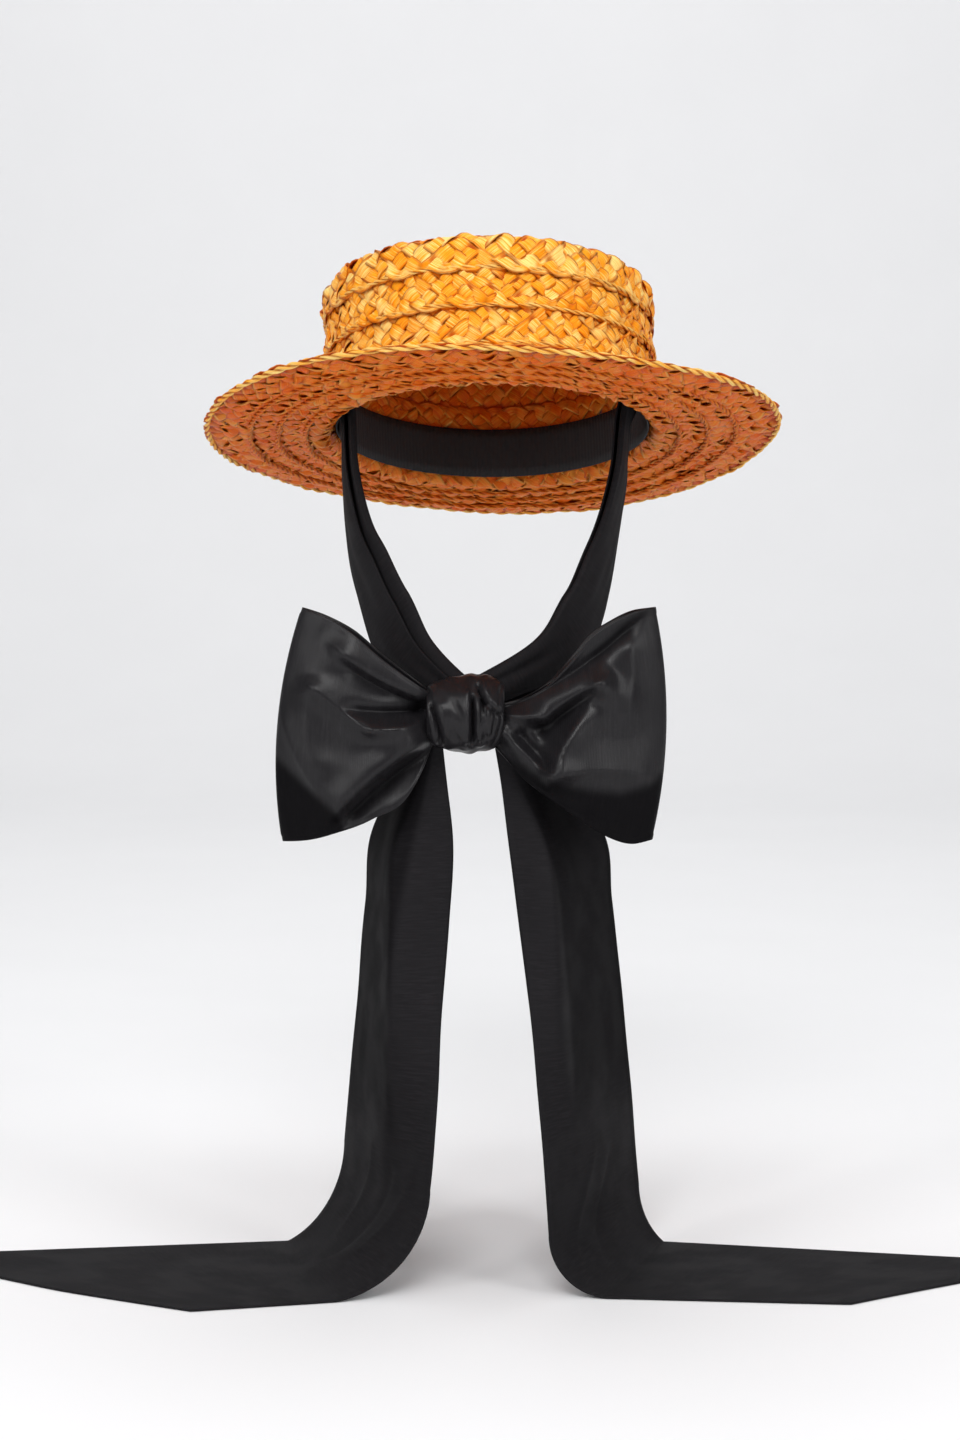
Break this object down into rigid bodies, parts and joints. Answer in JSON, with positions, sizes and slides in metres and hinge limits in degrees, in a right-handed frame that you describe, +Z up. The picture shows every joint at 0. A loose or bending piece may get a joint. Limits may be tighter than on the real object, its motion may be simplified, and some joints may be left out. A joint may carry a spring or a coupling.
{
  "type": "boater hat",
  "caption": "Plaited straw boater with a flat oval crown and brim, tied below with a wide black taffeta sash in a bow whose ends hang to the floor.",
  "frame": {"origin": "middle of the head opening, in the plane where the brim meets the crown", "axes": "+X to the right seen from the front, +Y to the back, +Z up; the hat is tipped back about X"},
  "size_m": [0.62, 0.3199, 0.5345],
  "materials": {
    "straw": "glossy plaited raffia",
    "sweatband": "matte woven band",
    "taffeta": "soft satin sheen"
  },
  "bodies": {
    "root": {"crown": "straw", "brim": "straw", "sweatband": "sweatband", "bow_knot": "taffeta", "tie_left": "taffeta", "tie_right": "taffeta", "bow_loop_left": "taffeta", "bow_loop_right": "taffeta", "tail_left": "taffeta", "tail_right": "taffeta"}
  },
  "joints": []
}
